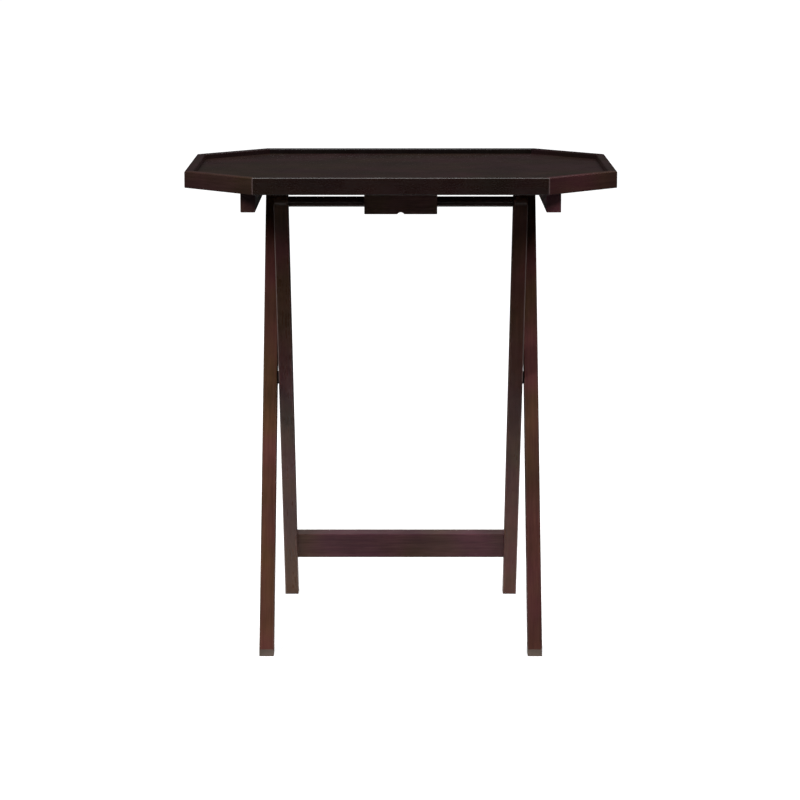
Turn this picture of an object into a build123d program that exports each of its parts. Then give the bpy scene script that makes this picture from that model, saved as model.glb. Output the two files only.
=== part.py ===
"""Folding tray table: an octagonal rimmed tray on a scissor stand of two wooden leg frames.

Millimetres, +Z up, the front towards -Y. The origin is on the floor, midway between the legs and
directly below the bolts where the two leg frames cross.
"""
import os
from math import cos, radians, sin, tan

from build123d import *

os.makedirs("parts", exist_ok=True)

# Tray
table_height = 650.0
tray_width = 578.0
tray_depth = 446.0
corner_cut = 95.0
rim_height = 22.5
rim_width = 12.0
rim_ease = 2.0
rim_foot_ease = 1.0
lip_depth = 7.0
panel_thickness = 9.0
panel_housing = 6.0
panel_reveal = 0.4
tongue_step = 0.8

panel_top = table_height - lip_depth
panel_under = panel_top - panel_thickness
rim_bottom = table_height - rim_height

# Stand
lean = radians(27.5)
pivot_height = 350.0
front_axis_height = 610.0
rear_axis_height = 614.0
leg_width = 19.5
leg_depth = 28.0
leg_ease = 1.5
toe_height = 9.5
outer_face_x = 191.0
frame_gap = 2.0
leg_radius = leg_depth / 2
outer_inside_x = outer_face_x - leg_width
inner_face_x = outer_inside_x - frame_gap
inner_inside_x = inner_face_x - leg_width
front_axis_y = -(front_axis_height - pivot_height) * tan(lean)
rear_axis_y = (rear_axis_height - pivot_height) * tan(lean)

# Dowels
running_fit = 0.05
front_dowel_radius = 7.0
rear_dowel_radius = 6.0

# Pivot hardware
bolt_radius = 3.0
bolt_length = 30.0
bolt_head_radius = 5.0
bolt_head_height = 4.0
hex_key_size = 4.0
hex_key_depth = 2.2
bolt_recess_radius = 5.6
bolt_recess_depth = 5.0
insert_radius = 4.5
insert_length = 14.0
pivot_washer_radius = 9.0
face_play = 0.1

# Lower rail of the inner frame
rail_width = 43.5
rail_thickness = 13.0
rail_drop = 302.0
rail_ease = 1.5
rail_pin_radius = 3.0
rail_pin_length = 27.0
rail_pin_in_leg = 12.0
rail_pin_pitch = 22.0

# Cleats
cleat_gap = 1.2
cleat_width = 19.5
cleat_bottom = 600.0
cleat_front_y = -180.0
cleat_back_y = 178.0
cleat_ease = 1.2
cleat_bore_depth = 12.0
dowel_end_play = 0.5
cleat_inside_x = outer_face_x + cleat_gap
cleat_screw_ys = (-150.0, -20.0, 90.0)
rear_washer_radius = 10.0

# Catch block
catch_width = 97.0
catch_bottom = 595.0
catch_lip = 13.0
catch_back_reach = 12.0
catch_play = 0.3
catch_ease = 1.2
catch_notch_radius = 5.5
catch_notch_depth = 2.7
catch_screw_x = 33.0

# Wood screws
screw_radius = 1.75
screw_head_radius = 3.6
screw_head_height = 2.2
screw_bite = 7.0
screw_recess_radius = 3.9
cleat_screw_recess = 8.0
catch_screw_recess = 12.0
driver_slot_width = 1.2
driver_slot_depth = 1.0


def finish(piece, name):
    """Label a finished piece and write its own STEP file."""
    piece.label = name
    export_step(piece, "parts/" + name + ".step")


def octagon(inset):
    """Corners of the tray outline moved inwards by inset, anticlockwise from the front left."""
    half_x = tray_width / 2 - inset
    half_y = tray_depth / 2 - inset
    cut = corner_cut - inset * (2 - 2**0.5)
    return [
        (cut - half_x, -half_y),
        (half_x - cut, -half_y),
        (half_x, cut - half_y),
        (half_x, half_y - cut),
        (half_x - cut, half_y),
        (cut - half_x, half_y),
        (-half_x, half_y - cut),
        (-half_x, cut - half_y),
    ]


# ---------------------------------------------------------------- tray

# The field stops just short of the rim, and a thinner tongue around it is housed in the rim.
with BuildPart() as panel_blank:
    with BuildSketch(Plane.XY.offset(panel_under)):
        with BuildLine():
            Polyline(*octagon(rim_width - panel_housing), close=True)
        make_face()
    extrude(amount=panel_thickness - tongue_step)
    with BuildSketch(Plane.XY.offset(panel_top)):
        with BuildLine():
            Polyline(*octagon(rim_width + panel_reveal), close=True)
        make_face()
    extrude(amount=-tongue_step)

rim_names = (
    "front_rim",
    "front_right_rim",
    "right_rim",
    "back_right_rim",
    "back_rim",
    "back_left_rim",
    "left_rim",
    "front_left_rim",
)
outer_corners = octagon(0)
inner_corners = octagon(rim_width)
for index, rim_name in enumerate(rim_names):
    following = (index + 1) % len(rim_names)
    start = outer_corners[index]
    end = outer_corners[following]
    along = Axis((0, 0, 0), (end[0] - start[0], end[1] - start[1], 0))
    with BuildPart() as rim:
        # A mitred length: its plan is the strip between the outer and the inner octagon.
        with BuildSketch(Plane.XY.offset(rim_bottom)):
            with BuildLine():
                Polyline(start, end, inner_corners[following], inner_corners[index], close=True)
            make_face()
        extrude(amount=rim_height)
        long_edges = rim.edges().filter_by(along).group_by(Axis.Z)
        fillet(long_edges[-1], radius=rim_ease)
        fillet(rim.edges().filter_by(along).group_by(Axis.Z)[0], radius=rim_foot_ease)
        # Groove that houses the panel's tongue.
        add(panel_blank.part, mode=Mode.SUBTRACT)
    finish(rim.part, rim_name)


# ---------------------------------------------------------------- leg frames


def leg(face_x, side, top_height, bore_radius):
    """A leg in the YZ plane: rounded top around its dowel, level foot, short upright toe.

    face_x is the leg's lower X face; side is +1 for the outer frame, whose top is at the back,
    and -1 for the inner frame.
    """
    top_y = (top_height - pivot_height) * tan(lean)
    across = (leg_radius * cos(lean), leg_radius * sin(lean))
    foot_y = -pivot_height * tan(lean)
    half_foot = leg_radius / cos(lean)
    toe_y = foot_y - half_foot + toe_height * tan(lean)
    front = (side * (top_y - across[0]), top_height + across[1])
    apex = (side * (top_y + across[1]), top_height + across[0])
    back = (side * (top_y + across[0]), top_height - across[1])
    with BuildPart() as blank:
        with BuildSketch(Plane.YZ.offset(face_x)):
            with BuildLine():
                Line((side * toe_y, 0), (side * toe_y, toe_height))
                Line((side * toe_y, toe_height), front)
                ThreePointArc(front, apex, back)
                Line(back, (side * (foot_y + half_foot), 0))
                Line((side * (foot_y + half_foot), 0), (side * toe_y, 0))
            make_face()
        extrude(amount=leg_width)
        rims = blank.edges().filter_by(Axis.X, reverse=True)
        fillet(rims.filter_by(lambda edge: edge.center().Z > 1), radius=leg_ease)
        with BuildSketch(Plane.YZ.offset(face_x)):
            with Locations((side * top_y, top_height)):
                Circle(bore_radius)
        extrude(amount=leg_width, mode=Mode.SUBTRACT)
    return blank.part


def rod(start_x, end_x, y, z, radius, bore=0.0):
    """A round bar or tube along X."""
    with BuildPart() as bar:
        with BuildSketch(Plane.YZ.offset(start_x)):
            with Locations((y, z)):
                Circle(radius)
                if bore:
                    Circle(bore, mode=Mode.SUBTRACT)
        extrude(amount=end_x - start_x)
    return bar.part


def mirrored(pieces):
    """The pieces and their reflections across the middle of the table."""
    return Compound(children=list(pieces) + [piece.mirror(Plane.YZ) for piece in pieces])


rear_bore_radius = rear_dowel_radius + running_fit
with BuildPart() as outer_leg:
    add(leg(outer_inside_x, 1, rear_axis_height, rear_bore_radius))
    # Clearance hole for the pivot bolt, and the recess for its head.
    with BuildSketch(Plane.YZ.offset(outer_inside_x)):
        with Locations((0, pivot_height)):
            Circle(bolt_radius)
    extrude(amount=leg_width, mode=Mode.SUBTRACT)
    with BuildSketch(Plane.YZ.offset(outer_face_x - bolt_recess_depth)):
        with Locations((0, pivot_height)):
            Circle(bolt_recess_radius)
    extrude(amount=bolt_recess_depth, mode=Mode.SUBTRACT)
finish(outer_leg.part, "outer_leg_right")
finish(outer_leg.part.mirror(Plane.YZ), "outer_leg_left")

rail_end_x = inner_inside_x
rail_centre = (rail_drop * sin(lean), pivot_height - rail_drop * cos(lean))
rail_pins_yz = [
    (
        rail_centre[0] + offset * sin(lean),
        rail_centre[1] - offset * cos(lean),
    )
    for offset in (-rail_pin_pitch / 2, rail_pin_pitch / 2)
]
rail_pins = [
    rod(rail_end_x + rail_pin_in_leg - rail_pin_length, rail_end_x + rail_pin_in_leg, y, z, rail_pin_radius)
    for y, z in rail_pins_yz
]

with BuildPart() as inner_leg:
    add(leg(inner_inside_x, -1, front_axis_height, front_dowel_radius))
    # Blind hole for the threaded insert, from the face beside the outer leg.
    with BuildSketch(Plane.YZ.offset(inner_face_x - insert_length)):
        with Locations((0, pivot_height)):
            Circle(insert_radius)
    extrude(amount=insert_length, mode=Mode.SUBTRACT)
    add(rail_pins, mode=Mode.SUBTRACT)
finish(inner_leg.part, "inner_leg_right")
finish(inner_leg.part.mirror(Plane.YZ), "inner_leg_left")

finish(
    rod(-inner_face_x, inner_face_x, front_axis_y, front_axis_height, front_dowel_radius),
    "front_dowel",
)

# The rail lies in line with the inner legs: its width runs along them.
rail_plane = Plane(
    origin=(0, rail_centre[0], rail_centre[1]),
    x_dir=(0, sin(lean), -cos(lean)),
    z_dir=(1, 0, 0),
)
with BuildPart() as lower_rail:
    with BuildSketch(rail_plane):
        Rectangle(rail_width, rail_thickness)
    extrude(amount=rail_end_x, both=True)
    fillet(lower_rail.edges().filter_by(Axis.X), radius=rail_ease)
    add(rail_pins, mode=Mode.SUBTRACT)
    add([pin.mirror(Plane.YZ) for pin in rail_pins], mode=Mode.SUBTRACT)
finish(lower_rail.part, "lower_rail")
finish(mirrored(rail_pins), "rail_pins")


# ---------------------------------------------------------------- pivot hardware

bolt_seat_x = outer_face_x - bolt_recess_depth
with BuildPart() as pivot_bolt:
    add(rod(bolt_seat_x - bolt_length, bolt_seat_x, 0, pivot_height, bolt_radius))
    add(rod(bolt_seat_x, bolt_seat_x + bolt_head_height, 0, pivot_height, bolt_head_radius))
    head_rim = pivot_bolt.edges().filter_by(GeomType.CIRCLE).sort_by(Axis.X)[-1]
    chamfer(head_rim, length=0.6)
    with BuildSketch(Plane.YZ.offset(bolt_seat_x + bolt_head_height)):
        with Locations((0, pivot_height)):
            RegularPolygon(radius=hex_key_size / 2, side_count=6, major_radius=False)
    extrude(amount=-hex_key_depth, mode=Mode.SUBTRACT)
finish(mirrored([pivot_bolt.part]), "pivot_bolts")

pivot_washer = rod(
    inner_face_x + face_play,
    outer_inside_x,
    0,
    pivot_height,
    pivot_washer_radius,
    bore=bolt_radius + running_fit,
)
finish(mirrored([pivot_washer]), "pivot_washers")

thread_insert = rod(
    inner_face_x - insert_length,
    inner_face_x,
    0,
    pivot_height,
    insert_radius,
    bore=bolt_radius + running_fit,
)
finish(mirrored([thread_insert]), "thread_inserts")

rear_dowel_end = cleat_inside_x + cleat_bore_depth - dowel_end_play
finish(
    rod(-rear_dowel_end, rear_dowel_end, rear_axis_y, rear_axis_height, rear_dowel_radius),
    "rear_dowel",
)
rear_washer = rod(
    outer_face_x + face_play,
    cleat_inside_x - face_play,
    rear_axis_y,
    rear_axis_height,
    rear_washer_radius,
    bore=rear_dowel_radius,
)
finish(mirrored([rear_washer]), "rear_washers")


# ---------------------------------------------------------------- cleats and catch block


def wood_screw(x, y, head_z, tip_z):
    """A flat-head screw driven upwards: head_z is the underside of its head's recess."""
    with BuildPart() as screw:
        with BuildSketch(Plane.XY.offset(head_z)):
            with Locations((x, y)):
                Circle(screw_head_radius)
        with BuildSketch(Plane.XY.offset(head_z + screw_head_height)):
            with Locations((x, y)):
                Circle(screw_radius)
        loft()
        with BuildSketch(Plane.XY.offset(head_z + screw_head_height)):
            with Locations((x, y)):
                Circle(screw_radius)
        extrude(amount=tip_z - head_z - screw_head_height)
        with BuildSketch(Plane.XY.offset(head_z)):
            with Locations((x, y)):
                Rectangle(2 * screw_head_radius, driver_slot_width)
                Rectangle(driver_slot_width, 2 * screw_head_radius)
        extrude(amount=driver_slot_depth, mode=Mode.SUBTRACT)
    return screw.part


def screw_hole(x, y, bottom_z, head_z, tip_z):
    """The space a screw takes up, with the recess below its head."""
    with BuildPart() as hole:
        with BuildSketch(Plane.XY.offset(bottom_z)):
            with Locations((x, y)):
                Circle(screw_recess_radius)
        extrude(amount=head_z - bottom_z)
        with BuildSketch(Plane.XY.offset(head_z)):
            with Locations((x, y)):
                Circle(screw_head_radius)
        with BuildSketch(Plane.XY.offset(head_z + screw_head_height)):
            with Locations((x, y)):
                Circle(screw_radius)
        loft()
        with BuildSketch(Plane.XY.offset(head_z)):
            with Locations((x, y)):
                Circle(screw_radius)
        extrude(amount=tip_z - head_z)
    return hole.part


screw_tip = panel_under + screw_bite
cleat_centre_x = cleat_inside_x + cleat_width / 2
cleat_head_z = cleat_bottom + cleat_screw_recess
catch_head_z = catch_bottom + catch_screw_recess

with BuildPart() as cleat:
    with BuildSketch(Plane.XY.offset(cleat_bottom)):
        with Locations((cleat_centre_x, (cleat_front_y + cleat_back_y) / 2)):
            Rectangle(cleat_width, cleat_back_y - cleat_front_y)
    extrude(amount=panel_under - cleat_bottom)
    fillet(cleat.edges().group_by(Axis.Z)[0], radius=cleat_ease)
    # Blind bore for the rear dowel's end.
    with BuildSketch(Plane.YZ.offset(cleat_inside_x)):
        with Locations((rear_axis_y, rear_axis_height)):
            Circle(rear_bore_radius)
    extrude(amount=cleat_bore_depth, mode=Mode.SUBTRACT)
    add(
        [screw_hole(cleat_centre_x, y, cleat_bottom, cleat_head_z, panel_under) for y in cleat_screw_ys],
        mode=Mode.SUBTRACT,
    )
finish(cleat.part, "right_cleat")
finish(cleat.part.mirror(Plane.YZ), "left_cleat")

cleat_screws = [wood_screw(cleat_centre_x, y, cleat_head_z, screw_tip) for y in cleat_screw_ys]
finish(mirrored(cleat_screws), "cleat_screws")

# The block hooks down in front of the front dowel. Its seat is open to the back, so the dowel
# can slide out along the underside of the tray when the legs close.
seat_radius = front_dowel_radius + catch_play
lip_back_y = front_axis_y - seat_radius
lip_front_y = lip_back_y - catch_lip
block_back_y = front_axis_y + catch_back_reach
seat_front = (lip_back_y, front_axis_height)
seat_top = (front_axis_y, front_axis_height + seat_radius)
catch_screw_y = (lip_front_y + lip_back_y) / 2
with BuildPart() as catch_block:
    with BuildSketch(Plane.YZ.offset(-catch_width / 2)):
        with BuildLine():
            Polyline(
                seat_front,
                (lip_back_y, catch_bottom),
                (lip_front_y, catch_bottom),
                (lip_front_y, panel_under),
                (block_back_y, panel_under),
                (block_back_y, seat_top[1]),
                seat_top,
            )
            CenterArc((front_axis_y, front_axis_height), seat_radius, 90, 90)
        make_face()
    extrude(amount=catch_width)
    fillet(catch_block.edges().group_by(Axis.Z)[0], radius=catch_ease)
    # Shallow round notch across the middle of the lip's bottom edge.
    with BuildSketch(Plane.XZ.offset(-lip_back_y)):
        with Locations((0, catch_bottom + catch_notch_depth - catch_notch_radius)):
            Circle(catch_notch_radius)
    extrude(amount=catch_lip, mode=Mode.SUBTRACT)
    add(
        [
            screw_hole(x, catch_screw_y, catch_bottom, catch_head_z, panel_under)
            for x in (-catch_screw_x, catch_screw_x)
        ],
        mode=Mode.SUBTRACT,
    )
finish(catch_block.part, "catch_block")

catch_screw = wood_screw(catch_screw_x, catch_screw_y, catch_head_z, screw_tip)
finish(mirrored([catch_screw]), "catch_screws")

# Pilot holes for the screws in the underside of the panel.
pilot_places = [(side * cleat_centre_x, y) for side in (-1, 1) for y in cleat_screw_ys]
pilot_places += [(-catch_screw_x, catch_screw_y), (catch_screw_x, catch_screw_y)]
with BuildPart() as tray_panel:
    add(panel_blank.part)
    with BuildSketch(Plane.XY.offset(panel_under)):
        with Locations(*pilot_places):
            Circle(screw_radius)
    extrude(amount=screw_bite, mode=Mode.SUBTRACT)
finish(tray_panel.part, "tray_panel")
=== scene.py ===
"""Looks of the folding tray table: espresso-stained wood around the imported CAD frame.

Metres, +Z up, the front towards -Y, in the frame of the CAD model.
"""
from math import cos, pi, radians, sin

import bpy
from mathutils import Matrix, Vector

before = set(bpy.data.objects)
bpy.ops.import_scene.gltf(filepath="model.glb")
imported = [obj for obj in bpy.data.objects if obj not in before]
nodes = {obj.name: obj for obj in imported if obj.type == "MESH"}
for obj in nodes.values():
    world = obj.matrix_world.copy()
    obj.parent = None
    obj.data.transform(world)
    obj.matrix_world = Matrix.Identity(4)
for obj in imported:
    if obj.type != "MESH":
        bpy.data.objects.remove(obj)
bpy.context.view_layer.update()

# ---------------------------------------------------------------- camera and light

CAMERA_AT = (-0.0010, -4.1029, 1.0276)
CAMERA_PITCH = radians(9.815)
LENS_MM = 134.25
SENSOR_MM = 36.0

FLOOR_SIZE = 400.0
FLOOR_COLOUR = (0.60, 0.60, 0.60, 1.0)
FLOOR_GLOW = 0.73

# The floor glows like a light table, so only a dimmer card under the table lights it from below.
CARD_RADIUS = 0.42
CARD_AT = (0.0, 0.18, 0.0008)
CARD_COLOUR = (0.75, 0.74, 0.73, 1.0)

SKY_COLOUR = (1.0, 1.0, 1.0, 1.0)
SKY_STRENGTH = 0.035

# A broad overhead light, as soft as a ceiling of diffusers.
CEILING_STRENGTH = 1.6
CEILING_SPREAD = radians(24.0)
CEILING_TILT = (radians(-8.0), radians(-4.0), 0.0)

# name: (place, size, watts, aimed at)
SOFTBOXES = {
    "left_softbox": ((-2.7, -2.6, 3.3), (1.3, 1.8), 170.0, (0.0, 0.0, 0.35)),
    "right_softbox": ((2.7, -2.2, 3.6), (1.2, 1.6), 160.0, (0.0, 0.0, 0.35)),
    "back_softbox": ((1.4, 2.2, 4.0), (1.2, 1.2), 14.0, (0.0, 0.0, 0.35)),
    "front_strip": ((0.0, -1.75, 0.06), (1.6, 0.10), 1.3, (0.0, 0.0, 0.5)),
}

# ---------------------------------------------------------------- node-tree helpers


class Shader:
    """A principled material with short calls for the nodes it is made of."""

    def __init__(self, name):
        self.material = bpy.data.materials.new(name)
        self.material.use_nodes = True
        self.tree = self.material.node_tree
        self.surface = self.tree.nodes["Principled BSDF"]

    def node(self, kind, inputs=(), **settings):
        """A new node: settings are its properties, inputs its values or links by name."""
        made = self.tree.nodes.new(kind)
        for name, value in settings.items():
            setattr(made, name, value)
        for name, value in dict(inputs).items():
            self.feed(made.inputs[name], value)
        return made

    def feed(self, socket, value):
        """Set a socket to a value, or link it when the value is another node's output."""
        if isinstance(value, bpy.types.NodeSocket):
            self.tree.links.new(value, socket)
        else:
            socket.default_value = value

    def noise(self, vector, scale, detail=2.0, roughness=0.5, distortion=0.0):
        made = self.node(
            "ShaderNodeTexNoise",
            {
                "Vector": vector,
                "Scale": scale,
                "Detail": detail,
                "Roughness": roughness,
                "Distortion": distortion,
            },
        )
        return made.outputs["Fac"]

    def remap(self, value, low, high, to_low, to_high):
        """The value's range low..high stretched to to_low..to_high, and clamped there."""
        made = self.node(
            "ShaderNodeMapRange",
            {
                "Value": value,
                "From Min": low,
                "From Max": high,
                "To Min": to_low,
                "To Max": to_high,
            },
        )
        return made.outputs["Result"]

    def math(self, operation, first, second=0.0):
        made = self.node("ShaderNodeMath", operation=operation)
        self.feed(made.inputs[0], first)
        self.feed(made.inputs[1], second)
        return made.outputs["Value"]

    def blend(self, factor, first, second, mode="MIX"):
        made = self.node("ShaderNodeMix", data_type="RGBA", blend_type=mode)
        self.feed(made.inputs["Factor"], factor)
        self.feed(made.inputs["A"], first)
        self.feed(made.inputs["B"], second)
        return made.outputs["Result"]

    def bump(self, height, strength, distance, below=None):
        inputs = {"Height": height, "Strength": strength, "Distance": distance}
        if below is not None:
            inputs["Normal"] = below
        return self.node("ShaderNodeBump", inputs).outputs["Normal"]


# ---------------------------------------------------------------- materials

LEG_LEAN = radians(27.5)
PIVOT_HEIGHT = 0.35
LEG_HALF_DEPTH = 0.014
INNER_LEG_OUTSIDE = 0.1695
# The way the front face of the inner legs looks, and how far along it that face lies.
INNER_LEG_FRONT = (0.0, -cos(LEG_LEAN), -sin(LEG_LEAN))
INNER_LEG_FRONT_REACH = LEG_HALF_DEPTH - PIVOT_HEIGHT * sin(LEG_LEAN)

GRAIN_STRETCH = 0.045
# How far each seed moves the grain pattern, so that no two pieces share one.
SEED_STEPS = (0.731, 0.417, 0.293)
DARK_STAIN = (0.042, 0.013, 0.0095, 1.0)
RED_STAIN = (0.104, 0.026, 0.027, 1.0)
BROWN_STAIN = (0.080, 0.037, 0.013, 1.0)
LIGHT_STAIN = (0.150, 0.062, 0.040, 1.0)
# End grain at the feet, greyed and lightened by a painted reflection of the white floor.
END_GRAIN_AND_FLOOR_SHEEN = (0.135, 0.105, 0.087, 1.0)
# Painted highlight on the mitre arrises, in place of the lamps' glint on their edges.
MITRE_HIGHLIGHT_COLOUR = (0.105, 0.072, 0.070, 1.0)
# Painted highlight on the outer front arrises of the inner legs.
LEG_ARRIS_HIGHLIGHT_COLOUR = (0.21, 0.15, 0.14, 1.0)
# How far a piece's sheen setting takes the red out of its colour: a painted grey-lilac reflection
# of the white surroundings.
SHEEN_TINT = (0.86, 1.06, 1.65)
# The stain is this much darker and lighter in soft clouds along a piece.
CLOUD_SHADES = (0.80, 1.20)

TRAY_HALF_WIDTH = 0.289
TRAY_HALF_DEPTH = 0.223
TRAY_CORNER_CUT = 0.095
# Outer corners of the tray in plan, in one quarter: the painted mitre highlight folds the others
# onto them.
TRAY_CORNERS = (
    (TRAY_HALF_WIDTH - TRAY_CORNER_CUT, TRAY_HALF_DEPTH, 0.0),
    (TRAY_HALF_WIDTH, TRAY_HALF_DEPTH - TRAY_CORNER_CUT, 0.0),
)

# Distance from an arris where its painted highlight ends, and where it is at its full strength.
MITRE_HIGHLIGHT_REACH = (0.0011, 0.0005)
MITRE_HIGHLIGHT_STRENGTH = 0.85
LEG_ARRIS_HIGHLIGHT_REACH = (0.0016, 0.0009)
# Heights where the band at the feet of the outer legs ends, and is at full strength:
# end grain with a painted reflection of the white floor.
FOOT_BAND_HEIGHTS = (0.0100, 0.0090)
FOOT_BAND_STRENGTH = 0.9


def grain_frame(shader, direction, seed):
    """Coordinates whose X runs along the grain, stretched so that marks lie along it."""
    place = shader.node("ShaderNodeTexCoord").outputs["Object"]
    turned = shader.node("ShaderNodeMapping", {"Vector": place}, vector_type="POINT")
    to_x = Vector(direction).normalized().rotation_difference(Vector((1, 0, 0)))
    turned.inputs["Rotation"].default_value = to_x.to_euler()
    turned.inputs["Location"].default_value = [seed * step for step in SEED_STEPS]
    stretched = shader.node("ShaderNodeMapping", {"Vector": turned.outputs["Vector"]})
    stretched.inputs["Scale"].default_value = (GRAIN_STRETCH, 1.0, 1.0)
    return turned.outputs["Vector"], stretched.outputs["Vector"]


def painted_mitre_highlight(shader):
    """A mask of the eight upright mitre arrises, for a painted highlight along the edges."""
    place = shader.node("ShaderNodeTexCoord").outputs["Object"]
    folded = shader.node("ShaderNodeVectorMath", operation="ABSOLUTE")
    shader.feed(folded.inputs[0], place)
    plan = shader.node("ShaderNodeVectorMath", operation="MULTIPLY")
    shader.feed(plan.inputs[0], folded.outputs["Vector"])
    plan.inputs[1].default_value = (1.0, 1.0, 0.0)
    masks = []
    for corner in TRAY_CORNERS:
        reach = shader.node("ShaderNodeVectorMath", operation="DISTANCE")
        shader.feed(reach.inputs[0], plan.outputs["Vector"])
        reach.inputs[1].default_value = corner
        distance = reach.outputs["Value"]
        masks.append(shader.remap(distance, *MITRE_HIGHLIGHT_REACH, 0.0, MITRE_HIGHLIGHT_STRENGTH))
    return shader.math("MAXIMUM", *masks)


def painted_leg_arris_highlight(shader):
    """A mask of the outer front arrises of the inner legs, for a painted highlight along the
    edges.
    """
    place = shader.node("ShaderNodeTexCoord").outputs["Object"]
    parts = shader.node("ShaderNodeSeparateXYZ", {"Vector": place})
    forward = shader.node("ShaderNodeVectorMath", operation="DOT_PRODUCT")
    shader.feed(forward.inputs[0], place)
    forward.inputs[1].default_value = INNER_LEG_FRONT
    ahead = shader.math("SUBTRACT", forward.outputs["Value"], INNER_LEG_FRONT_REACH)
    outward = shader.math("ABSOLUTE", parts.outputs["X"])
    aside = shader.math("SUBTRACT", outward, INNER_LEG_OUTSIDE)
    square = shader.math("ADD", shader.math("POWER", ahead, 2.0), shader.math("POWER", aside, 2.0))
    return shader.remap(shader.math("SQRT", square), *LEG_ARRIS_HIGHLIGHT_REACH, 0.0, 1.0)


def espresso_wood(name, direction, seed, tone, gloss, sheen, sheen_mark):
    """Stained, lacquered hardwood with its grain along direction.

    tone scales its colour to paint the light and shade the piece stands in, gloss sets its
    lacquer, sheen how much of SHEEN_TINT's painted grey reflection it takes; sheen_mark is one of
    "foot", "mitres", "arris" and None.
    """
    shader = Shader(name)
    even, grain = grain_frame(shader, direction, seed)
    figure = shader.noise(grain, 48.0, detail=4.0, roughness=0.6, distortion=0.6)
    streaks = shader.noise(grain, 380.0, detail=3.0, roughness=0.6)
    pores = shader.noise(grain, 1500.0, detail=1.0)
    figure_mask = shader.remap(figure, 0.34, 0.70, 0.0, 1.0)
    streak_mask = shader.remap(streaks, 0.38, 0.72, 0.0, 1.0)
    pore_mask = shader.remap(pores, 0.60, 0.72, 0.0, 1.0)
    # The stain took unevenly: red and brown patches drift into each other along the wood.
    patches = shader.remap(shader.noise(even, 9.0, detail=2.0), 0.38, 0.62, 0.0, 1.0)
    stain = shader.blend(patches, RED_STAIN, BROWN_STAIN)
    colour = shader.blend(figure_mask, shader.blend(0.45, stain, DARK_STAIN), stain)
    colour = shader.blend(shader.math("MULTIPLY", streak_mask, 0.38), colour, LIGHT_STAIN)
    colour = shader.blend(shader.math("MULTIPLY", pore_mask, 0.50), colour, DARK_STAIN)
    # Tone paints the light or shade the piece stands in, and sheen a grey reflection, into its
    # colour.
    tint = [tone * (1.0 + sheen * (share - 1.0)) for share in SHEEN_TINT]
    clouds = shader.remap(shader.noise(even, 13.0, detail=2.0), 0.32, 0.68, 0.0, 1.0)
    dark, light = ([level * part for part in tint] + [1.0] for level in CLOUD_SHADES)
    shade = shader.blend(clouds, dark, light)
    colour = shader.blend(1.0, colour, shade, mode="MULTIPLY")
    # The feet of the outer legs: end grain with a painted reflection of the white floor.
    if sheen_mark == "foot":
        height = shader.node(
            "ShaderNodeSeparateXYZ",
            {"Vector": shader.node("ShaderNodeTexCoord").outputs["Object"]},
        ).outputs["Z"]
        band = shader.remap(height, *FOOT_BAND_HEIGHTS, 0.0, FOOT_BAND_STRENGTH)
        colour = shader.blend(band, colour, END_GRAIN_AND_FLOOR_SHEEN)
    # Painted highlight along the mitre arrises.
    if sheen_mark == "mitres":
        colour = shader.blend(painted_mitre_highlight(shader), colour, MITRE_HIGHLIGHT_COLOUR)
    # Painted highlight along the outer front arrises of the inner legs.
    if sheen_mark == "arris":
        colour = shader.blend(painted_leg_arris_highlight(shader), colour, LEG_ARRIS_HIGHLIGHT_COLOUR)
    shader.feed(shader.surface.inputs["Base Color"], colour)
    shader.surface.inputs["Specular IOR Level"].default_value = 0.10 + 0.40 * gloss
    rough = shader.remap(streaks, 0.3, 0.75, 0.40 - 0.12 * gloss, 0.32 - 0.12 * gloss)
    smears = shader.remap(shader.noise(even, 38.0, detail=3.0), 0.35, 0.75, 0.0, 0.08)
    shader.feed(shader.surface.inputs["Roughness"], shader.math("ADD", rough, smears))
    relief = shader.bump(pore_mask, -0.12, 0.0002)
    relief = shader.bump(streaks, 0.06, 0.0004, below=relief)
    shader.feed(shader.surface.inputs["Normal"], relief)
    return shader.material


def beech(name, seed):
    """Bare turned beech for the hidden pins."""
    shader = Shader(name)
    even, grain = grain_frame(shader, (1.0, 0.0, 0.0), seed)
    flecks = shader.remap(shader.noise(grain, 900.0, detail=2.0), 0.4, 0.65, 0.0, 1.0)
    tint = shader.remap(shader.noise(even, 60.0), 0.3, 0.7, 0.0, 1.0)
    colour = shader.blend(tint, (0.50, 0.34, 0.19, 1.0), (0.60, 0.43, 0.26, 1.0))
    colour = shader.blend(flecks, colour, (0.33, 0.20, 0.10, 1.0))
    shader.feed(shader.surface.inputs["Base Color"], colour)
    shader.feed(shader.surface.inputs["Roughness"], shader.remap(flecks, 0.0, 1.0, 0.6, 0.72))
    shader.feed(shader.surface.inputs["Normal"], shader.bump(flecks, -0.2, 0.0002))
    return shader.material


def metal(name, colour, dull, rough):
    """Plated or turned metal with fine machining scratches and dull patches."""
    shader = Shader(name)
    place = shader.node("ShaderNodeTexCoord").outputs["Object"]
    patches = shader.remap(shader.noise(place, 420.0, detail=4.0), 0.38, 0.66, 0.0, 1.0)
    scratches = shader.noise(place, 2600.0, detail=2.0)
    shader.feed(shader.surface.inputs["Base Color"], shader.blend(patches, colour, dull))
    shader.surface.inputs["Metallic"].default_value = 1.0
    roughness = shader.remap(scratches, 0.3, 0.7, rough - 0.06, rough + 0.10)
    shader.feed(shader.surface.inputs["Roughness"], roughness)
    shader.feed(shader.surface.inputs["Normal"], shader.bump(scratches, 0.08, 0.0001))
    return shader.material


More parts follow.
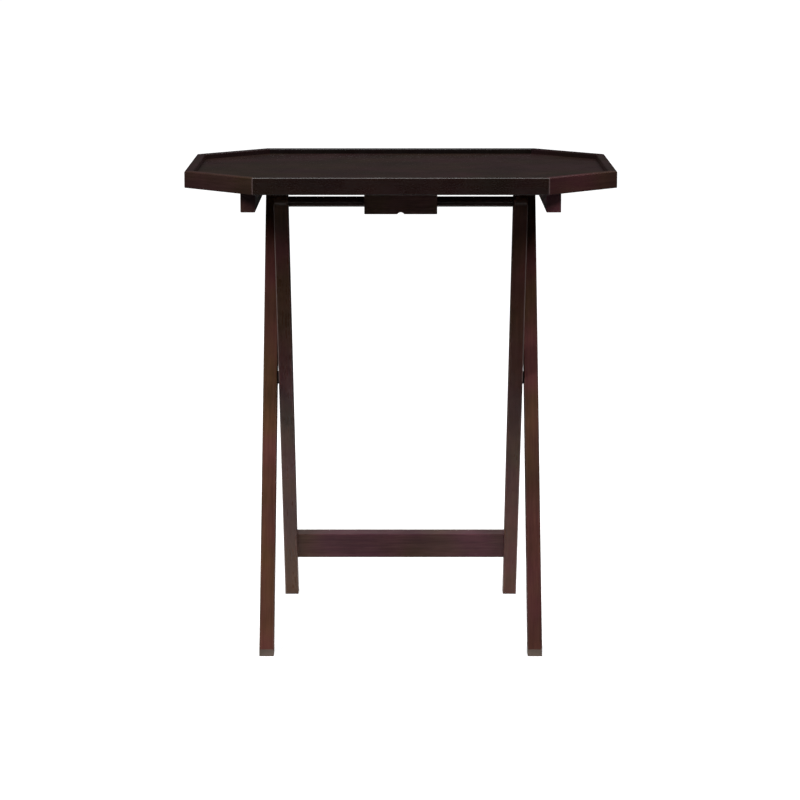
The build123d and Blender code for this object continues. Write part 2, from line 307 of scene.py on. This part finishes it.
def nylon(name):
    """Black moulded nylon with a fine matte texture."""
    shader = Shader(name)
    place = shader.node("ShaderNodeTexCoord").outputs["Object"]
    speckle = shader.noise(place, 1800.0, detail=3.0)
    mottling = shader.remap(shader.noise(place, 240.0), 0.3, 0.7, 0.0, 1.0)
    colour = shader.blend(mottling, (0.016, 0.016, 0.017, 1.0), (0.030, 0.030, 0.031, 1.0))
    shader.feed(shader.surface.inputs["Base Color"], colour)
    shader.feed(shader.surface.inputs["Roughness"], shader.remap(speckle, 0.3, 0.7, 0.48, 0.62))
    shader.feed(shader.surface.inputs["Normal"], shader.bump(speckle, 0.15, 0.0001))
    return shader.material


# ---------------------------------------------------------------- dressing the CAD nodes

ALONG_X = (1.0, 0.0, 0.0)
ALONG_Y = (0.0, 1.0, 0.0)
OUTER_LEG_GRAIN = (0.0, sin(LEG_LEAN), cos(LEG_LEAN))
INNER_LEG_GRAIN = (0.0, -sin(LEG_LEAN), cos(LEG_LEAN))
RISING_RIGHT = (1.0, 1.0, 0.0)
FALLING_RIGHT = (1.0, -1.0, 0.0)

# node: (grain direction, tone, gloss, sheen). Tone and sheen paint the light, shade and grey
# reflection each piece stands in, so pieces of one stain get different values.
WOODEN = {
    "tray_panel": (ALONG_X, 0.19, 0.8, 0.35),
    "front_rim": (ALONG_X, 0.125, 0.9, 0.1),
    "front_right_rim": (RISING_RIGHT, 0.48, 0.9, 0.45),
    "right_rim": (ALONG_Y, 0.20, 0.9, 0.5),
    "back_right_rim": (FALLING_RIGHT, 0.14, 0.5, 0.5),
    "back_rim": (ALONG_X, 0.04, 0.5, 0.2),
    "back_left_rim": (RISING_RIGHT, 0.14, 0.5, 0.5),
    "left_rim": (ALONG_Y, 0.20, 0.9, 0.5),
    "front_left_rim": (FALLING_RIGHT, 0.44, 0.9, 0.8),
    "left_cleat": (ALONG_Y, 0.70, 0.2, 0.7),
    "right_cleat": (ALONG_Y, 1.50, 0.2, 0.7),
    "catch_block": (ALONG_X, 1.60, 0.2, 0.7),
    "rear_dowel": (ALONG_X, 0.6, 0.4, 0.0),
    "front_dowel": (ALONG_X, 0.40, 0.4, 0.0),
    "lower_rail": (ALONG_X, 1.02, 0.1, 0.9),
    "outer_leg_left": (OUTER_LEG_GRAIN, 0.88, 0.0, 0.0),
    "outer_leg_right": (OUTER_LEG_GRAIN, 0.68, 0.0, 0.1),
    "inner_leg_left": (INNER_LEG_GRAIN, 0.90, 0.8, 0.2),
    "inner_leg_right": (INNER_LEG_GRAIN, 0.88, 0.6, 0.0),
}


def dress(node_name, material):
    """Give a CAD node its material."""
    slots = nodes[node_name].material_slots
    if not slots:
        nodes[node_name].data.materials.append(material)
    for material_slot in nodes[node_name].material_slots:
        material_slot.material = material


# Which painted highlight or reflection a piece gets, by a part of its name: highlights on the
# mitres and the inner legs' arrises, end grain with a painted floor reflection at the outer legs'
# feet.
SHEEN_MARKS = {"_rim": "mitres", "outer_leg": "foot", "inner_leg": "arris"}


def sheen_mark_of(node_name):
    kinds = [kind for part, kind in SHEEN_MARKS.items() if part in node_name]
    return kinds[0] if kinds else None


for seed, (node_name, (direction, *finish)) in enumerate(WOODEN.items(), start=1):
    wood_name = node_name + "_wood"
    wood = espresso_wood(wood_name, direction, seed, *finish, sheen_mark=sheen_mark_of(node_name))
    dress(node_name, wood)

# colour, dull colour, roughness
ZINC = ((0.52, 0.53, 0.54, 1.0), (0.36, 0.36, 0.37, 1.0), 0.30)
BRASS = ((0.62, 0.44, 0.18, 1.0), (0.42, 0.28, 0.11, 1.0), 0.32)
BEECH_SEED = 40
for node_name in ("cleat_screws", "catch_screws", "pivot_bolts"):
    dress(node_name, metal(node_name + "_zinc", *ZINC))
dress("thread_inserts", metal("turned_brass", *BRASS))
dress("rail_pins", beech("bare_beech", BEECH_SEED))
for node_name in ("pivot_washers", "rear_washers"):
    dress(node_name, nylon(node_name + "_nylon"))


# ---------------------------------------------------------------- stage


def matt_sheet(sheet, name, colour, glow):
    """Name a flat stage piece and give it a matt surface that glows."""
    sheet.name = name
    shader = Shader(name + "_surface")
    shader.surface.inputs["Base Color"].default_value = colour
    shader.surface.inputs["Roughness"].default_value = 0.9
    shader.surface.inputs["Specular IOR Level"].default_value = 0.0
    shader.surface.inputs["Emission Color"].default_value = (1.0, 1.0, 1.0, 1.0)
    shader.surface.inputs["Emission Strength"].default_value = glow
    sheet.data.materials.append(shader.material)


def make_floor():
    bpy.ops.mesh.primitive_plane_add(size=FLOOR_SIZE, location=(0, 0, 0))
    floor = bpy.context.object
    matt_sheet(floor, "studio_floor", FLOOR_COLOUR, FLOOR_GLOW)
    floor.visible_diffuse = False
    floor.visible_glossy = False
    bpy.ops.mesh.primitive_circle_add(
        vertices=64, radius=CARD_RADIUS, fill_type="NGON", location=CARD_AT
    )
    card = bpy.context.object
    matt_sheet(card, "bounce_card", CARD_COLOUR, 0.0)
    card.visible_camera = False
    card.visible_shadow = False


def make_lights():
    sky = bpy.data.worlds.new("studio_sky")
    sky.use_nodes = True
    background = sky.node_tree.nodes["Background"]
    background.inputs["Color"].default_value = SKY_COLOUR
    background.inputs["Strength"].default_value = SKY_STRENGTH
    bpy.context.scene.world = sky
    ceiling = bpy.data.lights.new("ceiling_light", "SUN")
    ceiling.energy = CEILING_STRENGTH
    ceiling.angle = CEILING_SPREAD
    holder = bpy.data.objects.new("ceiling_light", ceiling)
    bpy.context.scene.collection.objects.link(holder)
    holder.rotation_euler = CEILING_TILT
    for name, (place, size, watts, target) in SOFTBOXES.items():
        lamp = bpy.data.lights.new(name, "AREA")
        lamp.shape = "RECTANGLE"
        lamp.size, lamp.size_y = size
        lamp.energy = watts
        holder = bpy.data.objects.new(name, lamp)
        bpy.context.scene.collection.objects.link(holder)
        holder.location = place
        holder.visible_camera = False
        aim = Vector(target) - Vector(place)
        holder.rotation_euler = aim.to_track_quat("-Z", "Y").to_euler()


def make_camera():
    lens = bpy.data.cameras.new("photo_camera")
    lens.sensor_width = SENSOR_MM
    lens.lens = LENS_MM
    camera = bpy.data.objects.new("photo_camera", lens)
    bpy.context.scene.collection.objects.link(camera)
    camera.location = CAMERA_AT
    camera.rotation_euler = (pi / 2 - CAMERA_PITCH, 0.0, 0.0)
    bpy.context.scene.camera = camera
    bpy.context.scene.view_settings.view_transform = "Standard"


make_floor()
make_lights()
make_camera()
